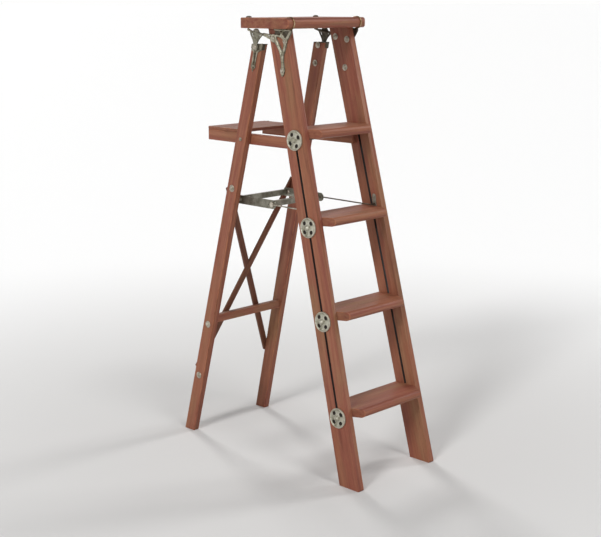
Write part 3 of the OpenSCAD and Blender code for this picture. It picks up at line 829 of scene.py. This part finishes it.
def bracket(label, side):
    bm = bmesh.new()
    strands = [
        [(-57, 1332, 14), (-56, 1348, 11), (-54, 1364, 11), (-52, 1378, 16)],
        [(-52, 1376, 11), (-45, 1392, 10.5), (-35, 1408, 11), (-23, 1423, 13), (-14, 1432, 18)],
        [(-52, 1376, 11), (-60, 1392, 10), (-65, 1408, 10), (-67, 1422, 13)],
        [(-67, 1424, 11), (-73, 1431, 10), (-81, 1441, 9), (-87, 1449, 8), (-91, 1455, 7.5)],
        [(-67, 1425, 8), (-57, 1432, 6.5), (-45, 1438, 6.5), (-30, 1441, 6.5), (-17, 1439, 9)],
        [(-44, 1438, 6.5), (-50, 1447, 6), (-57, 1455, 6), (-66, 1459, 6)],
        [(-67, 1425, 7), (-58, 1437, 6), (-47, 1449, 5.5), (-38, 1459, 6)],
        [(-14, 1432, 14), (-3, 1431.5, 11), (11, 1435, 9), (29, 1441, 8.5), (46, 1444.5, 8),
         (64, 1446, 8), (84, 1449.5, 8), (96, 1454, 8), (107, 1458, 10)],
        [(-14, 1438, 9), (-2, 1442, 6), (14, 1444, 5), (34, 1446, 5)],
    ]
    # The stem, its two branches and the front horn have a wide foot and a raised rib. The low foot
    # is painted dark by its height, which is painted shade outlining the strands, with some patina.
    main_strands = strands[:4]
    for points in main_strands:
        add_strand(bm, side, [(y, z, width + 6) for y, z, width in points], 2.4)
    for points in strands:
        add_strand(bm, side, points, 5.4)
    for points in main_strands:
        add_strand(bm, side, [(y, z, width * 0.34) for y, z, width in points], 7.6)
    # The web is a thin plate between the strands under the cap. It sits low, so it is painted dark,
    # which is painted shade with some patina.
    web = [(-84, 1458), (-20, 1458), (-14, 1438), (-44, 1434), (-66, 1424)]
    add_slab(bm, side, web, -0.5, 1.5)
    add_strand(bm, side, [(-84, 1458.5, 6), (-52, 1459, 6), (-18, 1459, 6)], 5)
    add_pad(bm, side, *BOLT_PLACES["foot"], 9.6, 4.8, stretch=1.15, tip=8)
    add_pad(bm, side, *BOLT_PLACES["rear"], 13, 5)
    add_pad(bm, side, *BOLT_PLACES["front"], 10, 5)
    strap_x = centre(f"nose_strap_{label}").x
    rows = [
        (*on_face(side, -83, 1444, 2.4), 9 * MM, 5.4 * MM),
        (*on_face(side, -88, 1452, 2.8), 8 * MM, 5.4 * MM),
        (strap_x, -89.6 * MM, 1462 * MM, 7 * MM, 5 * MM),
    ]
    add_tube(bm, rows, outwards(side), 14)
    piece = cast(f"cap_bracket_{label}_casting", bm, CAST)
    stands_for(piece, "cast_metal", f"cap_bracket_{label}")


def add_slab(bm, side, outline, low, high):
    """A flat plate over an outline of y, z on an outer face; low and high are heights over it."""
    bottom, top = ([on_face(side, y, z, h) for y, z in outline] for h in (low, high))
    add_between(bm, bottom, top)


def hanger(label, side):
    """The flared gusset under the bracket's arm, with the eye for the hinge pin."""
    bm = bmesh.new()
    lift, thick = 4.6, 5.2
    for points in (
        [(37, 1443, 8), (50, 1447, 8), (64, 1449, 8), (78, 1451, 8), (90, 1452, 8)],
        [(38, 1441, 8), (47, 1433, 7), (56, 1423, 7), (62, 1412, 7.5), (65, 1404, 8)],
        [(90, 1449, 8), (85, 1438, 7), (78, 1426, 7), (74, 1413, 7.5), (71, 1404, 8)],
    ):
        add_strand(bm, side, points, thick, lift)
    web = [(64, 1444, 38), (65, 1434, 28), (67, 1422, 17), (68, 1408, 12)]
    add_strand(bm, side, web, 4.2, lift + 0.4)
    add_pad(bm, side, HINGE_Y, HINGE_Z, 11.8, 4.2, lift + 0.4)
    piece = cast(f"hinge_hanger_{label}_casting", bm, HANGER_CAST)
    stands_for(piece, "cast_metal", f"hinge_hanger_{label}")


def shoe(label, side):
    """The cover over a leg's top end, with a looped strap down the outer face and a front lip."""
    bm = bmesh.new()

    def leg_y(z_mm, shift=0.0):
        return leg_mid(z_mm * MM) / MM + shift

    def front(z):
        """The leg's front face at height z in metres, as millimetres."""
        return leg_front(z) / MM

    for bow in (-1, 1):
        add_strand(bm, side, [
            (leg_y(z, bow * shift), z, 6)
            for z, shift in ((1396, 8.5), (1384, 8), (1370, 7), (1358, 6.6), (1348, 7))
        ], 3.6)
    add_slab(bm, side, [(leg_y(1392, -8), 1392), (leg_y(1392, 8), 1392), (leg_y(1344, 6), 1344),
                        (leg_y(1344, -6), 1344)], -0.5, 1.3)
    ring = [(leg_y(SHOE_BOLT_Z) + 8.6 * math.cos(a), SHOE_BOLT_Z + 8.6 * math.sin(a), 4.6)
            for a in (2 * math.pi * k / 16 for k in range(17))]
    add_strand(bm, side, ring, 3.4)
    add_pad(bm, side, leg_y(SHOE_BOLT_Z), SHOE_BOLT_Z, 7, 1.8)
    add_strand(bm, side, [(leg_y(1334), 1333, 8), (leg_y(1324), 1324, 5)], 3)
    add_strand(bm, side, [(leg_y(1393, -20), 1393, 7), (leg_y(1389, -8), 1388, 9),
                          (leg_y(1389, 6), 1388, 9), (leg_y(1394, 19), 1394, 7)], 3.2)
    add_pad(bm, side, HINGE_Y, HINGE_Z, 12.4, 2.4)

    # The skirt outside, the top plate across the leg and the lip in front of it.
    run = LEG_RUN / MM
    over, lip_over, skin, skirt, top_z = 1.6, 2.6, 2.2, 2.3, 1412.2
    add_slab(bm, side, [
        (front(1.390) - over, 1390), (front(1.398) + run, 1398),
        (front(1.412) + run, top_z), (front(1.412) - over, top_z),
    ], -0.6, skirt)
    plate_low, plate_high = 1409.6, 1412.4
    y_front, y_back = front(1.41) - over, front(1.41) + run
    add_slab(bm, side, [
        (y_front, plate_low), (y_back, plate_low), (y_back, plate_high), (y_front, plate_high),
    ], -LEG_T / MM, skin)
    add_slab(bm, side, [
        (front(1.392) - lip_over, 1392), (front(1.392) + 0.5, 1392),
        (front(1.412) + 0.5, top_z), (front(1.412) - lip_over, top_z),
    ], -13, skin)
    piece = cast(f"leg_shoe_{label}_casting", bm, SHOE_CAST, voxel=0.8 * MM, rounds=3)
    stands_for(piece, "cast_metal", f"leg_shoe_{label}")


HINGE = Vector(frame["joints"][0]["pos_m"])
HINGE_Y, HINGE_Z = HINGE.y / MM, HINGE.z / MM
SHOE_BOLT_Z = centre("shoe_bolts").z / MM

for label, side in SIDES.items():
    bracket(label, side)
    hanger(label, side)
    shoe(label, side)

WIRE_SIDES = 16


def nose_strap(label):
    """A wire bent around the cap's front edge, flattened at its upper end."""
    node = f"nose_strap_{label}"
    low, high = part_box(node)
    cap_low, cap_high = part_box("top_cap")
    nose_r = (cap_high.z - cap_low.z) / 2
    nose = Vector(((low.x + high.x) / 2, cap_low.y + nose_r, cap_low.z + nose_r))
    loop_r = nose_r + 2.1 * MM
    wire = (4.6 * MM, 4 * MM)
    rows = [(nose.x, nose.y + 15 * MM, nose.z + loop_r - 1 * MM, 6 * MM, 3.2 * MM)]
    for k in range(15):
        a = math.pi / 2 + math.pi * k / 14
        rows.append((nose.x, nose.y + loop_r * math.cos(a), nose.z + loop_r * math.sin(a), *wire))
    rows.append((nose.x, nose.y + 6 * MM, nose.z - loop_r, *wire))
    line = [Vector(r[:3]) for r in rows]
    across = Vector((1, 0, 0))
    bm = bmesh.new()
    loops = []
    for k, (*_, width, thick) in enumerate(rows):
        tangent = (line[min(k + 1, len(rows) - 1)] - line[max(k - 1, 0)]).normalized()
        out = tangent.cross(across)
        loops.append([
            bm.verts.new(
                line[k] + across * math.cos(a) * width / 2 + out * math.sin(a) * thick / 2
            )
            for a in (2 * math.pi * j / WIRE_SIDES for j in range(WIRE_SIDES))
        ])
    join_loops(bm, loops)
    bmesh.ops.recalc_face_normals(bm, faces=bm.faces)
    piece = new_object(f"{node}_wire", bm, [BRASSY], 60)
    stands_for(piece, "steel", node)


for label in SIDES:
    nose_strap(label)

# ---------------------------------------------------------------- fasteners

DOME = [
    (0, 0), (7.6, 0), (8.0, 0.4), (8.0, 1.0), (7.4, 2.4), (6.0, 3.8), (4.2, 4.6), (2, 5.0),
    (0, 5.1),
]
CUP_WASHER = [
    (0, 1.4), (5.4, 1.4), (6.6, 2.4), (8.4, 2.9), (10.4, 2.4), (11.8, 1.2), (12.4, 0.5),
    (12.4, 0), (0, 0),
]


def add_dome(bm, matrix, wide, high, segments=32):
    """A domed bolt head; wide and high scale its radius and its height."""
    add_lathe(bm, [(r * wide, h * high) for r, h in DOME], matrix, segments)


def add_slotted_head(bm, matrix, radius, height):
    """A round head with a screwdriver slot, drawn as a dark bar of painted shade laid across the
    head.
    """
    profile = [(radius, 0), (radius, 0.25 * height), (0.93 * radius, 0.5 * height),
               (0.75 * radius, 0.78 * height), (0.5 * radius, 0.94 * height), (0, height)]
    half_slot = 0.11 * radius
    add_lathe(bm, [(0, 0), *profile], matrix, 32)
    slot = [(-0.93 * radius, -half_slot), (0.93 * radius, -half_slot),
            (0.93 * radius, half_slot), (-0.93 * radius, half_slot)]
    # The slot is a dark bar over the head in the recess colour, which is painted shade for the
    # slot.
    add_prism(bm, slot, matrix, 0.7 * height, 1.01 * height, 1)


def add_hex_nut(bm, matrix, across, height, washer_r):
    """A washer, a hexagon nut and the end of a bolt."""
    washer_t = 1.8
    add_lathe(bm, [
        (0, 0), (washer_r, 0), (washer_r + 0.2, 0.4), (washer_r + 0.2, 1.4),
        (washer_r - 0.3, washer_t), (0, washer_t),
    ], matrix, 36)
    turns = [math.radians(60 * k + 15) for k in range(6)]
    hexagon = [(across * math.cos(a), across * math.sin(a)) for a in turns]
    add_prism(bm, hexagon, matrix, washer_t, height)
    add_lathe(bm, [
        (0, height - 1), (3.3, height - 1), (3.3, height + 0.8), (2.7, height + 1.4),
        (0, height + 1.5),
    ], matrix, 24)


def fasteners(name, node, slot, materials, build, bevel=0.0):
    bm = bmesh.new()
    for side in SIDES.values():
        build(bm, side)
    bmesh.ops.recalc_face_normals(bm, faces=bm.faces)
    piece = new_object(name, bm, materials)
    if bevel:
        soft = piece.modifiers.new("rounded", "BEVEL")
        soft.width = bevel
        soft.segments = 2
        soft.angle_limit = math.radians(45)
    stands_for(piece, slot, node)


WASHER_R = 10.8


def inner_face(side, y_mm, z_mm, thickness):
    """A place on the inner face of a rail or leg, facing inwards."""
    z = z_mm * MM
    point = Vector((side * (outer_half(z) - thickness), y_mm * MM, z))
    return facing(point, -outwards(side))


def bracket_bolts(bm, side):
    for y, z in BOLT_PLACES.values():
        add_dome(bm, facing(on_face(side, y, z, 4.6), outwards(side)), 0.86, 0.86)


def bracket_nuts(bm, side):
    for y, z in BOLT_PLACES.values():
        add_hex_nut(bm, inner_face(side, y, z, RAIL_T), 6.4, 5.6, WASHER_R)


def shoe_bolts(bm, side):
    y, z = leg_mid(SHOE_BOLT_Z * MM) / MM, SHOE_BOLT_Z
    add_dome(bm, facing(on_face(side, y, z, 1.6), outwards(side)), 0.62, 0.7)
    add_hex_nut(bm, inner_face(side, y, z, LEG_T), 6.4, 5.6, WASHER_R)


def hinge_pins(bm, side):
    face = facing(on_face(side, HINGE_Y, HINGE_Z, 8.6), outwards(side))
    add_dome(bm, face, 1.06, 0.9, 36)
    inner = inner_face(side, HINGE_Y, HINGE_Z, LEG_T + 0.6 * MM)
    add_hex_nut(bm, inner, 6.6, 4.4, WASHER_R)
    rows = [(*on_face(side, HINGE_Y, HINGE_Z, h), 9.9 * MM, 9.9 * MM) for h in (-20, -8, 2, 8.4)]
    add_tube(bm, rows, Vector((0, 0, 1)), 24, cap=False)


def cap_bolts(bm, side):
    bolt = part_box("cap_bolts")[1]
    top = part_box("top_cap")[1].z
    x = side * (bolt.x - 10 * MM)
    place = Matrix.Translation((x, centre("cap_bolts").y, top))
    add_dome(bm, place, 1.22, 1.06, 36)


LAG_HEIGHTS = (922, 419, 219)


def lag_bolts(bm, side):
    for z in LAG_HEIGHTS:
        y = leg_mid(z * MM) / MM
        place = facing(on_face(side, y, z, 0), outwards(side))
        add_lathe(bm, CUP_WASHER, place, 40)
        head = facing(on_face(side, y, z, 1.4), outwards(side))
        add_dome(bm, head, 0.9, 0.84, 36)


def shelf_bolts(bm, side):
    hinge = centre("shelf_pivot_bolts")
    y, z = hinge.y / MM, hinge.z / MM
    add_dome(bm, facing(on_face(side, y, z, 0), outwards(side)), 0.82, 0.8)
    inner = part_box("shelf_arm_right")[0].x
    place = facing(Vector((side * (inner - 0.0004), hinge.y, hinge.z)), (-side, 0, 0))
    add_dome(bm, place, 0.86, 0.76)


def spreader_bolts(bm, side):
    hinge = centre("spreader_pivot_bolts")
    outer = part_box("yoke_plate_right")[1].x
    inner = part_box("yoke_plate_right")[0].x
    leg_in = outer_half(hinge.z) - LEG_T
    collar = [outer + 0.0004, outer + 0.01, leg_in - 0.0004]
    rows = [(side * x, hinge.y, hinge.z, 11.6 * MM, 11.6 * MM) for x in collar]
    add_tube(bm, rows, Vector((0, 0, 1)), 28, cap=False)
    place = facing(Vector((side * (inner - 0.0004), hinge.y, hinge.z)), (-side, 0, 0))
    add_dome(bm, place, 0.86, 0.76)
    shank = [inner - 0.0002, outer, outer + 0.0006]
    rows = [(side * x, hinge.y, hinge.z, 7.8 * MM, 7.8 * MM) for x in shank]
    add_tube(bm, rows, Vector((0, 0, 1)), 20, cap=False)


def shelf_screws(bm, side):
    low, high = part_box("shelf_screws")
    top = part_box("shelf_board")[1].z
    x = side * (high.x - 4.5 * MM)
    for i, y in enumerate((low.y + 4.5 * MM, high.y - 4.5 * MM)):
        place = Matrix.Translation((x, y, top)) @ Matrix.Rotation(0.5 + i + side, 4, "Z")
        add_slotted_head(bm, place, 4.4, 1.4)


def eye_screws(bm, side):
    low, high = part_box("eye_plate_screws")
    y, z = (low.y + high.y) / 2, (low.z + high.z) / 2
    place = inner_face(side, y / MM, z / MM, RAIL_T + 2.6 * MM)
    add_slotted_head(bm, place, 3.9, 1.9)


fasteners("bracket_bolts_domed", "bracket_bolts", "steel", [STEEL], bracket_bolts)
fasteners("bracket_nuts_hex", "bracket_nuts", "steel", [STEEL], bracket_nuts, 0.4 * MM)
fasteners("shoe_bolts_domed", "shoe_bolts", "steel", [STEEL], shoe_bolts, 0.4 * MM)
fasteners("hinge_pins_domed", "hinge_pins", "steel", [STEEL], hinge_pins, 0.4 * MM)
fasteners("cap_bolts_domed", "cap_bolts", "steel", [DARK_STEEL], cap_bolts)
fasteners("leg_lag_bolts_domed", "leg_lag_bolts", "steel", [STEEL], lag_bolts)
fasteners("shelf_pivot_bolts_domed", "shelf_pivot_bolts", "steel", [STEEL], shelf_bolts)
fasteners("spreader_pivot_bolts_turned", "spreader_pivot_bolts", "steel", [STEEL], spreader_bolts)
fasteners("shelf_screws_slotted", "shelf_screws", "steel", [STEEL, RECESS_SHADE], shelf_screws)
fasteners("eye_plate_screws_slotted", "eye_plate_screws", "steel", [STEEL, RECESS_SHADE], eye_screws)

# ---------------------------------------------------------------- spreader

for node, material, width in (
    ("yoke_plate_left", PLATE, 0.8 * MM), ("yoke_plate_right", PLATE, 0.8 * MM),
    ("yoke_front_bar", PLATE, 0.7 * MM), ("yoke_rear_bar", PLATE, 0.7 * MM),
    ("spreader_eye_plates", PLATE, 0.5 * MM),
):
    piece = softened(f"{node}_pressed", node, [material, STEEL], width, smallest=9 * MM)
    stands_for(piece, "cast_metal", node)

# The CAD nodes that stay visible get their materials here.
for node, material in (
    # The right spreader rod is the same rod as the left one. Its dark steel is painted shade for
    # the shade on the ladder's inner side.
    ("spreader_rod_left", STEEL), ("spreader_rod_right", DARK_STEEL),
    ("yoke_rivets", DARK_STEEL), ("brace_screws", DARK_STEEL),
):
    kept = frame["nodes"][node].data.materials
    kept.clear()
    kept.append(material)

# ---------------------------------------------------------------- camera, floor and light

TARGET = Vector((0, 0.0213, 0.640))
EYE = Vector((-2.908, -2.868, 1.547))
camera_data = bpy.data.cameras.new("camera")
camera_data.sensor_width = 36
camera_data.lens = 72.19
camera = bpy.data.objects.new("camera", camera_data)
bpy.context.scene.collection.objects.link(camera)
camera.location = EYE
camera.rotation_euler = (TARGET - EYE).to_track_quat("-Z", "Y").to_euler()
bpy.context.scene.camera = camera

STUDIO_REACH = 900
floor_bm = bmesh.new()
bmesh.ops.create_grid(floor_bm, x_segments=1, y_segments=1, size=STUDIO_REACH)
floor_tree = Tree("studio_floor")
where = floor_tree.coords()
far = floor_tree.add("ShaderNodeVectorMath", operation="LENGTH")
floor_tree.set(far.inputs[0], where)
# The floor is painted darker around the ladder and pales to white from 0.5 m to 3.6 m out. This is
# painted shade around the ladder.
painted_shade_fade = floor_tree.range(far.outputs["Value"], 0.5, 3.6)
floor_tree.set(
    floor_tree.shader.inputs["Base Color"],
    floor_tree.mix(painted_shade_fade, rgb(210, 209, 208), rgb(250, 250, 250)),
)
floor_tree.shader.inputs["Roughness"].default_value = 0.8
floor_tree.shader.inputs["Specular IOR Level"].default_value = 0.1
floor = new_object("studio_floor", floor_bm, [floor_tree.material])

world = bpy.data.worlds.new("studio")
world.use_nodes = True
sky = world.node_tree
ways = sky.nodes.new("ShaderNodeTexCoord")
parts = sky.nodes.new("ShaderNodeSeparateXYZ")
sky.links.new(ways.outputs["Generated"], parts.inputs[0])
glow = sky.nodes.new("ShaderNodeMapRange")
glow.inputs["From Min"].default_value = 0.22
glow.inputs["From Max"].default_value = 0.4
glow.inputs["To Min"].default_value = 1.0
glow.inputs["To Max"].default_value = 0.16
sky.links.new(parts.outputs[2], glow.inputs["Value"])
sky.nodes["Background"].inputs["Color"].default_value = (1.0, 0.995, 0.985, 1)
sky.links.new(glow.outputs["Result"], sky.nodes["Background"].inputs["Strength"])
bpy.context.scene.world = world
bpy.context.scene.view_settings.view_transform = "Standard"


SUN_SOFTNESS = math.radians(14)


def sun(name, toward, elevation, strength):
    """A soft distant light; toward is the compass side it stands on, degrees from -Y towards +X."""
    data = bpy.data.lights.new(name, "SUN")
    data.energy = strength
    data.angle = SUN_SOFTNESS
    light = bpy.data.objects.new(name, data)
    bpy.context.scene.collection.objects.link(light)
    turn, lift = math.radians(toward), math.radians(elevation)
    flat = math.cos(lift)
    stand = Vector((math.sin(turn) * flat, -math.cos(turn) * flat, math.sin(lift)))
    light.rotation_euler = stand.to_track_quat("Z", "Y").to_euler()


sun("left_light", -78, 33, 1.45)
sun("front_light", -6, 56, 0.7)
sun("right_light", 74, 33, 0.85)
sun("back_light", 160, 34, 1.15)
